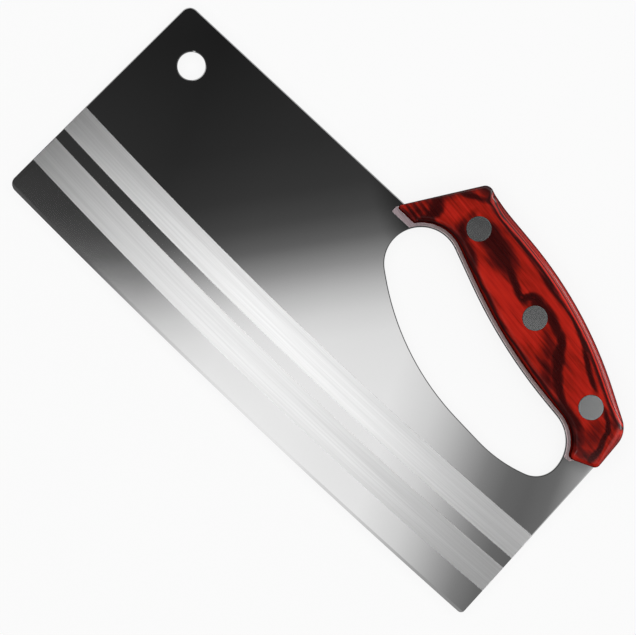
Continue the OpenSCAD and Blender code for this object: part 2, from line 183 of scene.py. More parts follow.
# %% Material of the blade
def polished_sheet():
    """Mirror-polished steel: takes its look from the room, with two calm satin bands."""
    material, tree, shader, coordinates = new_material("polished_stainless_sheet")
    place = add_node(tree, "SeparateXYZ", {"Vector": coordinates["Object"]})
    height = height_over_arc(tree, place)
    bands = band_mask(tree, height)
    scratches, marks = belt_scratches(tree, place, height)

    satin = add_node(tree, "ValToRGB", {"Fac": marks}, stops=[
        (0.36, "#E7E7E7"), (0.5, "#EFEFEF"), (0.64, "#F7F7F7")])
    # The lower band's colour is darkened a little: a painted shade that dims its reflection
    lower_band_shade = add_node(tree, "MapRange", {
        "Value": height, "From Min": -51 * MM, "From Max": -45 * MM, "To Min": 0.865})
    satin_tone = add_node(tree, "VectorMath", {
        0: satin.outputs["Color"], "Scale": lower_band_shade.outputs["Result"]}, operation="SCALE")
    colour = add_node(tree, "Mix", {
        0: bands, 6: linear("#D4D4D4"), 7: satin_tone.outputs[0]}, data_type="RGBA")

    # Where the surface doesn't face up or down the colour is darkened: a painted shade for the dark
    # lines round the rims
    facing = add_node(tree, "SeparateXYZ", {"Vector": coordinates["Normal"]})
    upright = add_node(tree, "Math", {0: facing.outputs["Z"]}, operation="ABSOLUTE")
    rim_shade = add_node(tree, "MapRange", {
        "Value": upright.outputs[0], "From Min": 0.85, "From Max": 0.93, "To Min": 0.15})
    rim_shaded_colour = add_node(tree, "VectorMath", {
        0: colour.outputs[2], "Scale": rim_shade.outputs["Result"]}, operation="SCALE")
    tree.links.new(rim_shaded_colour.outputs[0], shader.inputs["Base Color"])

    rough = add_node(tree, "MapRange", {
        "Value": bands, "From Max": 0.4, "To Min": 0.03, "To Max": 0.3})
    tree.links.new(rough.outputs["Result"], shader.inputs["Roughness"])
    relief = add_node(tree, "MapRange", {"Value": bands, "From Min": 0.6, "To Max": 0.25})
    bump = add_node(tree, "Bump", {
        "Height": scratches, "Strength": relief.outputs["Result"], "Distance": 0.01 * MM})
    tree.links.new(bump.outputs["Normal"], shader.inputs["Normal"])
    across = add_node(tree, "CombineXYZ", {"Y": 1.0})
    tree.links.new(across.outputs[0], shader.inputs["Tangent"])
    shader.inputs["Anisotropic"].default_value = 0.89
    shader.inputs["Metallic"].default_value = 1.0
    return material


sheet_steel = polished_sheet()
print(sheet_steel.name, "has", len(sheet_steel.node_tree.nodes), "nodes")

# %% [markdown]
# ## Liner steel and rivet steel
#
# The liners are thin stainless plates, brushed along the grip before they are assembled. The rivet
# heads are ground flush together with the wood and are left with a satin grain. Both are metals
# with a medium roughness, so they look soft and grey beside the mirror of the blade. A stretched
# noise gives their grain. On the real knife it is about 0.1 mm wide. It is drawn 0.3 mm wide on the
# liners and 1.2 mm on the rivets, where a finer one would flicker, because a pixel is 0.5 mm.

# %% Brushed steel
def brushed_steel(name, colour, shade, roughness, grain_width, grain_length, turn):
    """Brushed steel, with the sockets of its tone and roughness, which may be changed further."""
    material, tree, shader, coordinates = new_material(name)
    turned = add_node(tree, "Mapping", {
        "Vector": coordinates["Object"], "Rotation": (0.0, 0.0, math.radians(-turn))})
    stretched = add_node(tree, "Mapping", {
        "Vector": turned.outputs[0],
        "Scale": (1 / grain_length, 1 / grain_width, 1 / grain_width)})
    grain = add_node(tree, "TexNoise", {
        "Vector": stretched.outputs[0], "Scale": 1.0, "Detail": 3.0, "Roughness": 0.6})
    tone = add_node(tree, "ValToRGB", {
        "Fac": grain.outputs["Fac"]}, stops=[(0.3, shade), (0.7, colour)])
    dull = add_node(tree, "MapRange", {
        "Value": grain.outputs["Fac"], "To Min": roughness + 0.06, "To Max": roughness - 0.06})
    tree.links.new(tone.outputs["Color"], shader.inputs["Base Color"])
    tree.links.new(dull.outputs["Result"], shader.inputs["Roughness"])
    bump = add_node(tree, "Bump", {
        "Height": grain.outputs["Fac"], "Strength": 0.3, "Distance": 0.01 * MM})
    tree.links.new(bump.outputs["Normal"], shader.inputs["Normal"])
    shader.inputs["Metallic"].default_value = 1.0
    return material, tone.outputs["Color"], dull.outputs["Result"], coordinates["Object"]


ground_rivet = brushed_steel(
    "ground_steel_rivet", "#B2B3B3", "#A4A5A5", roughness=0.22,
    grain_width=1.2 * MM, grain_length=12 * MM, turn=30)[0]
print(ground_rivet.name)

# %% [markdown]
# ## Rough ends and painted shade on the liners
#
# The liners start as the same brushed steel. At both ends of the grip they keep the coarse finish
# of the grinding belt, so they are rougher there. Between the ends the plate's colour is darkened,
# a painted shade. A ramp along the grip tells the ends from the stretch between.

# %% Material of the liners
LINER_START, LINER_END = -10 * MM, 145 * MM
# The pink in this tint and in the liner's colours below is a painted reflection of the red wood
# beside the liner
GRIP_SHADE_TINT = "#D4CAC6"

liner_plate, liner_tone, liner_roughness, liner_place = brushed_steel(
    "brushed_stainless_liner", "#F6E8EC", "#E4D4D8", roughness=0.36,
    grain_width=0.3 * MM, grain_length=15 * MM, turn=-12)
tree = liner_plate.node_tree
shader = tree.nodes["Principled BSDF"]
place = add_node(tree, "SeparateXYZ", {"Vector": liner_place})
reach = add_node(tree, "MapRange", {
    "Value": place.outputs["X"], "From Min": LINER_START, "From Max": LINER_END})
ends = add_node(tree, "ValToRGB", {"Fac": reach.outputs["Result"]}, stops=[
    (0.1, 1.0), (0.16, 0.0), (0.86, 0.0), (0.9, 0.6)])
# Between the ends the liner's colour is darkened by this tint: painted shade
grip_shaded_tone = add_node(tree, "VectorMath", {
    0: liner_tone, 1: linear(GRIP_SHADE_TINT)[:3]}, operation="MULTIPLY")
look = add_node(tree, "Mix", {
    0: ends.outputs["Color"], 6: grip_shaded_tone.outputs[0], 7: liner_tone}, data_type="RGBA")
coarse = add_node(tree, "Math", {
    0: ends.outputs["Color"], 1: 0.42, 2: liner_roughness}, operation="MULTIPLY_ADD")
tree.links.new(look.outputs[2], shader.inputs["Base Color"])
tree.links.new(coarse.outputs[0], shader.inputs["Roughness"])
print(liner_plate.name)

# %% [markdown]
# ## Flames of the laminated wood
#
# The scales are cut from a block of dyed beech veneers, red with some black, which are soaked in
# resin and pressed hard together. The block is pressed unevenly, so a flat cut through it runs in
# and out of the dark veneers and shows them as flames. Each flame is written down as a hump in the
# veneers, an ellipse with a place, a size and a direction, because a noise alone would put them
# anywhere. A negative hump pushes a dark veneer away.

# %% Flames of the front scale
# Centre X and Y, half length and half width in mm, turn in degrees, strength
FRONT_FLAMES = [
    (6.0, 61.6, 17.0, 2.8, 56.5, 0.34),
    (44.6, 60.9, 10.4, 4.2, -14, 1.0),
    (41.8, 56.1, 11.6, 2.5, -12, 0.45),
    (35.4, 62.3, 4.2, 4.7, 0, 0.8),
    (59.3, 54.6, 7.4, 1.5, -26, 1.0),
    (66.5, 51.1, 4.7, 1.5, -8, 0.8),
    (68.6, 53.6, 3.0, 1.4, 48, 0.9),
    (71.6, 54.9, 3.6, 2.4, 25, 0.9),
    (73.8, 52.6, 2.2, 1.6, 45, 0.6),
    (78.6, 54.8, 8.0, 2.6, -8, 1.0),
    (89.2, 51.8, 6.5, 2.0, -22, 1.0),
    (95.6, 48.4, 4.2, 2.0, -48, 1.0),
    (99.6, 41.6, 5.4, 2.5, -54, 1.0),
    (105.4, 35.2, 5.8, 2.1, -46, 1.0),
    (111.4, 30.8, 5.5, 1.5, -33, 0.9),
    (89.2, 45.6, 7.0, 3.6, -20, 0.33),
    (95.0, 38.6, 6.3, 3.6, -30, 0.45),
    (101.8, 32.3, 6.3, 2.6, -30, 0.5),
    (120.2, 27.0, 8.4, 2.1, -12, 0.9),
    (130.3, 21.8, 6.3, 2.7, -45, 0.5),
    (134.6, 17.2, 5.3, 3.2, -60, 0.42),
    (142.1, 26.0, 4.0, 1.2, -70, 0.9),
    (143.2, 20.6, 4.0, 1.5, -88, 0.9),
    (140.2, 17.0, 4.4, 2.4, 14, 0.8),
    (147.8, 26.0, 10.0, 2.0, -80, -0.9),
    (146.0, 34.5, 5.5, 2.4, -60, -0.9),
    (137.0, 26.5, 6.5, 4.6, -65, 0.32),
    (23.9, 56.3, 4.7, 2.8, -35, 0.75),
    (31.8, 52.3, 7.4, 1.7, -22, 0.5),
    (40.2, 47.6, 6.3, 1.5, -28, 0.5),
    (23.0, 62.3, 2.1, 4.7, 0, 0.5),
    (31.2, 67.3, 5.3, 1.3, -8, 0.5),
    (8.2, 55.6, 4.7, 3.0, -65, 0.9),
    (25.6, 77.6, 10.0, 2.6, -8, 0.42),
    (2.5, 47.8, 7.0, 3.6, 45, 0.46),
    (8.9, 50.6, 5.0, 2.0, 75, 0.6),
    (7.0, 45.6, 3.6, 1.8, 60, 0.6),
    (3.8, 48.1, 6.3, 0.8, -12, 0.6),
    (1.7, 45.5, 6.3, 0.7, -8, 0.5),
    (8.0, 50.2, 6.3, 0.8, -10, 0.5),
    (0.7, 43.9, 7.4, 0.8, 0, 0.6),
    (15.4, 70.1, 3.8, 1.3, 29, 0.7),
    (20.9, 72.4, 4.0, 1.2, 22, 0.7),
    (26.3, 74.9, 3.6, 1.1, 10, 0.7),
    (32.2, 73.5, 4.2, 1.0, -19, 0.7),
    (18.6, 75.4, 6.5, 3.2, 45, 0.36),
    (76.5, 63.9, 8.4, 1.3, -10, 1.0),
    (81.8, 30.7, 9.5, 1.9, -12, 0.8),
    (97.6, 27.6, 9.5, 1.7, -7, 0.7),
    (37.6, 72.1, 8.4, 0.8, -13, 0.5),
    (51.2, 69.0, 8.4, 0.7, -13, 0.5),
    (64.9, 66.0, 7.4, 0.8, -13, 0.5),
    (87.1, 61.6, 6.3, 0.9, -17, 0.6),
    (99.3, 57.0, 6.0, 1.1, -24, 0.9),
    (106.5, 52.9, 6.4, 1.3, -35, 0.9),
    (113.6, 47.9, 6.0, 1.3, -34, 0.9),
    (120.5, 44.0, 5.0, 1.2, -27, 0.9),
    (134.2, 37.7, 4.0, 1.0, -33, 0.8),
    (138.6, 34.3, 2.8, 1.1, -48, 0.8),
    (140.4, 31.0, 3.0, 1.1, -82, 0.8),
]
print("flames on the front scale:", len(FRONT_FLAMES))

# %% [markdown]
# ## Flames of the other scale
#
# The two scales are sawn from different places of the block, so the back one has flames of its own.
# They run the same way along the grip, in fewer and larger humps.

# %% Flames of the back scale
BACK_FLAMES = [
    (20.0, 64.0, 13.0, 4.0, -30, 1.0),
    (38.0, 56.0, 10.0, 3.0, -20, 0.9),
    (58.0, 62.0, 14.0, 2.6, -12, 0.9),
    (70.0, 44.0, 15.0, 4.2, -30, 1.0),
    (92.0, 36.0, 12.0, 2.6, -14, 0.9),
    (104.0, 48.0, 11.0, 3.8, -34, 1.0),
    (120.0, 36.0, 12.0, 2.6, -30, 0.9),
    (136.0, 22.0, 9.0, 3.2, -60, 0.9),
    (4.0, 50.0, 8.0, 2.6, 50, 0.8),
]
print("flames on the back scale:", len(BACK_FLAMES))

# %% [markdown]
# ## Humps in the veneers
#
# A spherical gradient, moved, turned and stretched by a Mapping node, is one hump, and all humps
# are added up. The grain frays the ends of real flames, so a noise that is stretched along the
# grain is added before the sum becomes a depth in the block.

# %% Humps from the flames
GRAIN_TURN = -8  # direction of the grain against the spine, in degrees
FRAY_LENGTH, FRAY_WIDTH = 14 * MM, 1.4 * MM
FRAY_SHARE = 0.7
FLAME_REACH = 1.5  # size of a hump's foot against the flame that shows
HUMP_HEIGHT = 0.17 * MM


def flame_humps(tree, position, turned, flames):
    """How far the press has pushed the veneers up at a place, from all the flames."""
    flat = add_node(tree, "VectorMath", {0: position, 1: (1.0, 1.0, 0.0)}, operation="MULTIPLY")
    heap = 0.0
    for x, y, half_length, half_width, turn, strength in flames:
        foot = add_node(tree, "Mapping", {
            "Vector": flat.outputs[0],
            "Location": (x * MM, y * MM, 0.0),
            "Rotation": (0.0, 0.0, math.radians(turn)),
            "Scale": (FLAME_REACH * half_length * MM, FLAME_REACH * half_width * MM, 1.0),
        }, vector_type="TEXTURE")
        cone = add_node(tree, "TexGradient", {
            "Vector": foot.outputs[0]}, gradient_type="SPHERICAL")
        heap = add_node(tree, "Math", {
            0: cone.outputs["Fac"], 1: strength, 2: heap}, operation="MULTIPLY_ADD").outputs[0]
    fray = add_node(tree, "Mapping", {
        "Vector": turned, "Scale": (1 / FRAY_LENGTH, 1 / FRAY_WIDTH, 1 / FRAY_WIDTH)})
    frayed = add_node(tree, "TexNoise", {"Vector": fray.outputs[0], "Scale": 1.0, "Detail": 2.0})
    ragged = add_node(tree, "Math", {
        0: frayed.outputs["Fac"], 1: FRAY_SHARE, 2: heap}, operation="MULTIPLY_ADD")
    humps = add_node(tree, "MapRange", {
        "Value": ragged.outputs[0], "From Min": 0.35, "From Max": 1.25,
        "To Max": HUMP_HEIGHT}, clamp=False)
    return humps.outputs["Result"]


print("highest hump in mm:", round(HUMP_HEIGHT / MM, 2))

# %% [markdown]
# ## Depth in the block
#
# A rounded edge cuts through more and more veneers and shows them as thin parallel lines, because
# it lies deeper and deeper below the face of the scale. So the depth below the face decides which
# veneer shows. Along the opening and at both ends the lines are missing on the real scale: there
# the press has bent the veneers down with the rounding, and the depth counts for less. The sides
# show straight layers.

# %% Depth below the face
SLANT = -0.6  # how the ends of the scale lean
SLANT_START, SLANT_END = -35 * MM, 140 * MM


def depth_in_block(tree, place, facing, upright, face, side):
    """Depth below the face of a scale, as far as the veneers there lie flat."""
    depth = add_node(tree, "Math", {
        0: place.outputs["Z"], 1: -side, 2: side * face}, operation="MULTIPLY_ADD")
    opening = add_node(tree, "MapRange", {
        "Value": facing.outputs["Y"], "From Min": -0.1, "From Max": -0.02, "To Min": 0.22})
    slant = add_node(tree, "Math", {
        0: place.outputs["Y"], 1: SLANT, 2: place.outputs["X"]}, operation="MULTIPLY_ADD")
    stretch = add_node(tree, "MapRange", {
        "Value": slant.outputs[0], "From Min": SLANT_START, "From Max": SLANT_END})
    ends = add_node(tree, "ValToRGB", {"Fac": stretch.outputs["Result"]}, stops=[
        (0.051, 0.03), (0.143, 1.0), (0.8, 1.0), (0.9, 0.03)])
    sides = add_node(tree, "MapRange", {
        "Value": upright, "From Min": 0.2, "From Max": 0.35, "To Min": 0.3, "To Max": 0.0})
    shown = add_node(tree, "Math", {
        0: ends.outputs["Color"], 1: sides.outputs["Result"]}, operation="MAXIMUM")
    flatness = add_node(tree, "Math", {
        0: opening.outputs["Result"], 1: shown.outputs[0]}, operation="MULTIPLY")
    counted = add_node(tree, "Math", {
        0: depth.outputs[0], 1: flatness.outputs[0]}, operation="MULTIPLY")
    return counted.outputs[0]


print("the ends of the scale lean by", round(math.degrees(math.atan(-SLANT))), "degrees")

# %% [markdown]
# ## Painted shade and light on the edges
#
# The roundings and sides are painted darker than the face, the more so the more they tilt: a
# painted shade. Along the back, from a little past the front end of the grip, the rounding is
# painted brighter instead: painted light. The surface normal tells a face, a rounding and a side
# apart, so the painted shade and light follow the shape.

# %% Painted shade and light on the edges
BACK_START, BACK_END = 25 * MM, 55 * MM  # where the painted light along the back fades in
PAINTED_BACK_GAIN = 1.6


def painted_edge_shading(tree, place, facing, upright):
    """The factor of painted shade on tilted wood, and of painted light along the back."""
    # Roundings and sides are darker the more they tilt: painted shade
    painted_tilt_shade = add_node(tree, "ValToRGB", {"Fac": upright}, stops=[
        (0.3, 0.3), (0.6, 0.4), (0.85, 0.7), (0.97, 1.0)])
    behind = add_node(tree, "MapRange", {
        "Value": facing.outputs["Y"], "From Min": 0.1, "From Max": 0.5})
    leaning = add_node(tree, "MapRange", {"Value": upright, "From Min": 0.4, "From Max": 0.65})
    onward = add_node(tree, "MapRange", {
        "Value": place.outputs["X"], "From Min": BACK_START, "From Max": BACK_END,
        "To Min": 0.15})
    partly = add_node(tree, "Math", {
        0: behind.outputs["Result"], 1: leaning.outputs["Result"]}, operation="MULTIPLY")
    free = add_node(tree, "Math", {
        0: partly.outputs[0], 1: onward.outputs["Result"]}, operation="MULTIPLY")
    # Along the back the rounding is brightened instead: painted light
    painted_edge_factor = add_node(tree, "Mix", {
        0: free.outputs[0], 6: painted_tilt_shade.outputs["Color"],
        7: (PAINTED_BACK_GAIN, PAINTED_BACK_GAIN, PAINTED_BACK_GAIN, 1.0)}, data_type="RGBA")
    return painted_edge_factor.outputs[2]


print("the back is free of scorching from X in mm:", round(BACK_END / MM))

# %% [markdown]
# ## Lacquer
#
# The finished scales are dipped in clear lacquer, which gives the wood its wet gloss. A clear coat
# on the shader does that. It stops where the sides are ground flush with the steel, and fingers
# wear it dull along the side of the opening. It dries with a slight swell.

# %% Lacquer over the wood
LACQUER_SWELL = 10 / 3 * MM


def add_lacquer(tree, shader, position, facing, upright):
    """Puts the clear coat on a wood material."""
    coated = add_node(tree, "MapRange", {"Value": upright, "From Min": 0.55, "From Max": 0.8})
    handled = add_node(tree, "MapRange", {
        "Value": facing.outputs["Y"], "From Min": -0.06, "From Max": -0.01, "To Min": 0.15})
    lacquered = add_node(tree, "Math", {
        0: coated.outputs["Result"], 1: handled.outputs["Result"]}, operation="MULTIPLY")
    tree.links.new(lacquered.outputs[0], shader.inputs["Coat Weight"])
    shader.inputs["Coat Roughness"].default_value = 0.06
    swell = add_node(tree, "TexNoise", {
        "Vector": position, "Scale": 1 / LACQUER_SWELL, "Detail": 1.0})
    bump = add_node(tree, "Bump", {
        "Height": swell.outputs["Fac"], "Strength": 0.15, "Distance": 0.02 * MM})
    tree.links.new(bump.outputs["Normal"], shader.inputs["Coat Normal"])


print("swell of the lacquer in mm:", round(LACQUER_SWELL / MM, 1))

# %% [markdown]
# ## Laminated wood
#
# The material puts these steps together. It adds up the depth in the block, the slow waves of the
# press and the humps, and divides by the thickness of a red and a black veneer. What is left over
# says how far through that pair the surface is, and a ramp turns it into the dyes. A fine stretched
# noise is the beech's own grain. Real pores are 0.05 mm wide. The grain is drawn 0.9 mm wide,
# because a pixel is 0.5 mm.

# %% Material of the scales
VENEER_PAIR = 0.52 * MM  # thickness of one red and one black veneer together
GRAIN_LENGTH, GRAIN_WIDTH = 45 * MM, 0.9 * MM
WAVE_LENGTH, WAVE_WIDTH, WAVE_HEIGHT = 28 * MM, 9 * MM, 0.26 * MM
DYES = [
    (0.0, "#A81E15"), (0.1, "#BA2518"), (0.21, "#AA2016"), (0.3, "#8A1A10"), (0.38, "#5E1310"),
    (0.48, "#390D0C"), (0.69, "#320B0B"), (0.77, "#5A1312"), (0.85, "#901B14"), (1.0, "#A81E15")]


def laminated_wood(name, flames, face, side):
    """Dyed beech veneers under lacquer: deep red with dark flames, and a wet gloss."""
    material, tree, shader, coordinates = new_material(name)
    position = coordinates["Object"]
    place = add_node(tree, "SeparateXYZ", {"Vector": position})
    facing = add_node(tree, "SeparateXYZ", {"Vector": coordinates["Normal"]})
    upright = add_node(tree, "Math", {0: facing.outputs["Z"]}, operation="ABSOLUTE").outputs[0]
    turned = add_node(tree, "Mapping", {
        "Vector": position, "Rotation": (0.0, 0.0, math.radians(-GRAIN_TURN))}).outputs[0]

    wave = add_node(tree, "Mapping", {
        "Vector": turned, "Scale": (1 / WAVE_LENGTH, 1 / WAVE_WIDTH, 1 / WAVE_WIDTH)})
    waves = add_node(tree, "TexNoise", {"Vector": wave.outputs[0], "Scale": 1.0, "Detail": 2.0})
    waved = add_node(tree, "Math", {
        0: waves.outputs["Fac"], 1: WAVE_HEIGHT,
        2: depth_in_block(tree, place, facing, upright, face, side)}, operation="MULTIPLY_ADD")
    total = add_node(tree, "Math", {
        0: waved.outputs[0], 1: flame_humps(tree, position, turned, flames)}, operation="ADD")
    pairs = add_node(tree, "Math", {
        0: total.outputs[0], 1: 1 / VENEER_PAIR}, operation="MULTIPLY")
    share = add_node(tree, "Math", {0: pairs.outputs[0]}, operation="FRACT")
    dye = add_node(tree, "ValToRGB", {"Fac": share.outputs[0]}, stops=DYES)

    fibre = add_node(tree, "Mapping", {
        "Vector": turned, "Scale": (1 / GRAIN_LENGTH, 1 / GRAIN_WIDTH, 1 / GRAIN_WIDTH)})
    grain = add_node(tree, "TexNoise", {
        "Vector": fibre.outputs[0], "Scale": 1.0, "Detail": 3.0, "Roughness": 0.6})
    pores = add_node(tree, "ValToRGB", {"Fac": grain.outputs["Fac"]}, stops=[
        (0.32, 0.74), (0.5, 1.0), (0.68, 1.0)])
    tinted = add_node(tree, "VectorMath", {
        0: dye.outputs["Color"], 1: pores.outputs["Color"]}, operation="MULTIPLY")
    # The wood's colour takes the painted shade and painted light of its edges
    edge_shaded_colour = add_node(tree, "VectorMath", {
        0: tinted.outputs[0], 1: painted_edge_shading(tree, place, facing, upright)}, operation="MULTIPLY")
    tree.links.new(edge_shaded_colour.outputs[0], shader.inputs["Base Color"])
    shader.inputs["Roughness"].default_value = 0.42
    # Under the lacquer the wood has no gloss of its own
    shader.inputs["Specular IOR Level"].default_value = 0.0
    add_lacquer(tree, shader, position, facing, upright)
    return material


SCALE_TOP = 22.2 * MM  # height of the front scale's face
front_wood = laminated_wood("red_laminated_wood_front", FRONT_FLAMES, SCALE_TOP, 1)
back_wood = laminated_wood("red_laminated_wood_back", BACK_FLAMES, 0.0, -1)
for wood in (front_wood, back_wood):
    print(wood.name, "has", len(wood.node_tree.nodes), "nodes")

# %% [markdown]
# ## Finishing a piece
#
# A CAD node's mesh is loose triangles. Its copy is merged first, so that it has real edges, and its
# flat areas are made into few faces. A finished mesh is shaded smooth where it curves and flat
# where it is flat, with sharp edges marked, and then rides on the knife in place of its node.

# %% From a CAD node to a finished piece
SHARP_ANGLE = math.radians(35)


def merged_copy(node_name):
    """A bmesh of a CAD node with its triangles joined and its flat areas made into few faces."""
    mesh = bmesh.new()
    mesh.from_mesh(cad_nodes[node_name].data)
    bmesh.ops.remove_doubles(mesh, verts=mesh.verts, dist=0.001 * MM)
    bmesh.ops.dissolve_limit(
        mesh, angle_limit=math.radians(0.05), verts=mesh.verts, edges=mesh.edges)
    return mesh


def finish_piece(mesh, name, node_name, material):
    """Turns a bmesh into a piece that stands for a CAD node and rides on the knife."""
    bmesh.ops.recalc_face_normals(mesh, faces=mesh.faces)
    for face in mesh.faces:
        face.smooth = abs(face.normal.z) < 0.99
    for edge in mesh.edges:
        if len(edge.link_faces) == 2 and edge.calc_face_angle() > SHARP_ANGLE:
            edge.smooth = False
    data = bpy.data.meshes.new(name)
    mesh.to_mesh(data)
    mesh.free()
    data.materials.append(material)
    piece = bpy.data.objects.new(name, data)
    bpy.context.scene.collection.objects.link(piece)
    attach(piece, "root")
    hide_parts(node_name)
    print(name, len(data.polygons), "faces")
    return piece


print("edges are sharp from, in degrees:", round(math.degrees(SHARP_ANGLE)))

# %% [markdown]
# ## The sheet and the liners
#
# A sheet that is only cut has knife-sharp rims, which nobody wants round a finger opening, so a
# cutler breaks every rim but the cutting edge with a small chamfer. The solids leave it out because
# it is half a millimetre. A Bevel modifier would also catch the cutting edge, so here the
# bevel operator runs on a copy of the solid's mesh, only on the rims that a file would reach.

# %% Break the rims of the sheet and the liners
SHEET_MIDDLE = 11.1 * MM
SHEET_RIM, LINER_RIM = 0.5 * MM, 0.04 * MM


def break_rims(mesh, width, least_height):
    """Chamfers the rims that stand at least this far from the sheet's middle plane."""
    rims = [
        edge for edge in mesh.edges
        if len(edge.link_faces) == 2
        and edge.calc_face_angle() > math.radians(60)
        and min(abs(vertex.co.z - SHEET_MIDDLE) for vertex in edge.verts) > least_height
        and max(abs(face.normal.z) for face in edge.link_faces) > 0.99
    ]
    bmesh.ops.bevel(mesh, geom=rims, offset=width, offset_type="OFFSET", affect="EDGES",
                    segments=2, profile=0.5, clamp_overlap=False, material=-1)
    return len(rims)


sheet = merged_copy("blade")
print("rims broken on the sheet:", break_rims(sheet, SHEET_RIM, 0.5 * MM))
finish_piece(sheet, "sheet", "blade", sheet_steel)
for place in ("front", "back"):
    liner = merged_copy("liner_" + place)
    print("rims broken on the liner:", break_rims(liner, LINER_RIM, 2.5 * MM))
    finish_piece(liner, "liner_plate_" + place, "liner_" + place, liner_plate)

# %% [markdown]
# ## The scales
#
# The shape of each scale is already right, with a rounded edge that widens along the back. Its
# mesh is joined so that the rounded edge shades smoothly, and the seats of the rivet heads get a
# slight countersink, as the reamer leaves it. The seats' rims are found by their distance from the
# middle of a rivet, which is measured on the rivet's node.

# %% Copy the scales and countersink the seats
SEAT_RADIUS = 6.05 * MM
COUNTERSINK = 0.12 * MM
RIVETS = ("top", "middle", "bottom")


def rivet_centre(which):
    """Middle of a rivet, measured on its CAD node."""
    low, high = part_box("rivet_" + which + "_post")
    return (low + high) / 2


def on_seat_rim(vertex, face):
    """Whether a vertex of a scale lies on the rim of a rivet's seat."""
    in_face = abs(vertex.co.z - face) < 0.01 * MM
    return in_face and any(
        abs((vertex.co - rivet_centre(which)).xy.length - SEAT_RADIUS) < 0.05 * MM
        for which in RIVETS)


for place, material, face in (("front", front_wood, SCALE_TOP), ("back", back_wood, 0.0)):
    scale = merged_copy("scale_" + place)
    seats = [
        edge for edge in scale.edges if all(on_seat_rim(vertex, face) for vertex in edge.verts)]
    bmesh.ops.bevel(scale, geom=seats, offset=COUNTERSINK, offset_type="OFFSET", affect="EDGES",
                    segments=2, profile=0.5, clamp_overlap=True, material=-1)
    print("seat edges:", len(seats))
    finish_piece(scale, "wood_scale_" + place, "scale_" + place, material)

# %% [markdown]
# ## The rivets
#
# Each rivet is turned on a lathe in two halves: a head with a solid pin, and a head with a bored
# shank. A turned part is a profile that is spun round its axis, so the spin operator makes it. The
# head's rim is rounded a little where the grinding belt has run over it.

# %% Turn the rivets
HEAD_RADIUS, HEAD_THICKNESS, RIM = 6.0, 2.0, 0.15  # these and the next are in mm
PIN_RADIUS, PIN_LENGTH = 2.0, 17.2
SLEEVE_RADIUS, BORE_RADIUS, SLEEVE_LENGTH = 3.0, 2.03, 16.7
LATHE_STEPS = 96


def turned_piece(profile, centre, face, side):
    """Spins a profile of [radius, depth] in mm, whose first and last point lie on the axis."""
    mesh = bmesh.new()
    points = [
        mesh.verts.new((centre.x + r * MM, centre.y, face - side * depth * MM))
        for r, depth in profile]
    edges = [mesh.edges.new(pair) for pair in zip(points, points[1:])]
    bmesh.ops.spin(mesh, geom=points + edges, cent=(centre.x, centre.y, 0.0),
                   axis=(0.0, 0.0, 1.0), angle=math.tau, steps=LATHE_STEPS, use_merge=True)
    bmesh.ops.remove_doubles(mesh, verts=mesh.verts, dist=0.001 * MM)
    return mesh


head = [
    (0, 0), (HEAD_RADIUS - RIM, 0), (HEAD_RADIUS - RIM * 0.3, RIM * 0.3), (HEAD_RADIUS, RIM),
    (HEAD_RADIUS, HEAD_THICKNESS)]
pin = [
    (PIN_RADIUS, HEAD_THICKNESS), (PIN_RADIUS, HEAD_THICKNESS + PIN_LENGTH),
    (0, HEAD_THICKNESS + PIN_LENGTH)]
tube = [
    (SLEEVE_RADIUS, HEAD_THICKNESS), (SLEEVE_RADIUS, HEAD_THICKNESS + SLEEVE_LENGTH),
    (BORE_RADIUS, HEAD_THICKNESS + SLEEVE_LENGTH), (BORE_RADIUS, HEAD_THICKNESS),
    (0, HEAD_THICKNESS)]
for which in RIVETS:
    centre = rivet_centre(which)
    post = turned_piece(head + pin, centre, SCALE_TOP, 1)
    finish_piece(
        post, "turned_post_" + which, "rivet_" + which + "_post", ground_rivet)
    sleeve = turned_piece(head + tube, centre, 0.0, -1)
    finish_piece(
        sleeve, "turned_sleeve_" + which, "rivet_" + which + "_sleeve",
        ground_rivet)

# %% [markdown]
# ## Camera
#
# The knife lies flat and is photographed from straight above, with its spine at 43 degrees to the
# picture. The lens follows from the width of the picture at the sheet and the camera's height. The
# height, 900 mm, is the one at which the scales, 11 mm nearer, stand out as far as they do.

# %% Camera
CAMERA_TURN = math.radians(42.95)
CAMERA_DISTANCE = 900 * MM
PICTURE_WIDTH = 305.3 * MM  # width of the picture at the sheet
SENSOR_WIDTH = 36.0
picture_centre = Vector((2.5 * MM, -21.3 * MM, SHEET_MIDDLE))

camera_data = bpy.data.cameras.new("camera")
camera_data.sensor_width = SENSOR_WIDTH
camera_data.lens = SENSOR_WIDTH * CAMERA_DISTANCE / PICTURE_WIDTH
camera = bpy.data.objects.new("camera", camera_data)
camera.location = picture_centre + Vector((0.0, 0.0, CAMERA_DISTANCE))
camera.rotation_euler = (0.0, 0.0, CAMERA_TURN)
bpy.context.scene.collection.objects.link(camera)
bpy.context.scene.camera = camera
print("lens in mm:", round(camera_data.lens, 1))

# %% [markdown]
# ## Things of the studio
#
# A mirror shows its surroundings, so what makes polished steel look like steel is what stands
# round it: a large graded card over the knife, a narrow one for the cutting bevel, and a tent. They
# aren't part of the knife, and only reflections see them.

# %% Helpers for the studio
HIDDEN_FROM = ("camera", "diffuse", "transmission", "volume_scatter", "shadow")


def stage_object(name, mesh, centre, material_name):
    """Turns a bmesh into a thing of the studio, with an empty material whose tree it returns."""
    data = bpy.data.meshes.new(name)
    mesh.to_mesh(data)
    mesh.free()
    thing = bpy.data.objects.new(name, data)
    thing.location = centre
    bpy.context.scene.collection.objects.link(thing)
    material = bpy.data.materials.new(material_name)
    material.use_nodes = True
    material.node_tree.nodes.clear()
    data.materials.append(material)
    return thing, material.node_tree


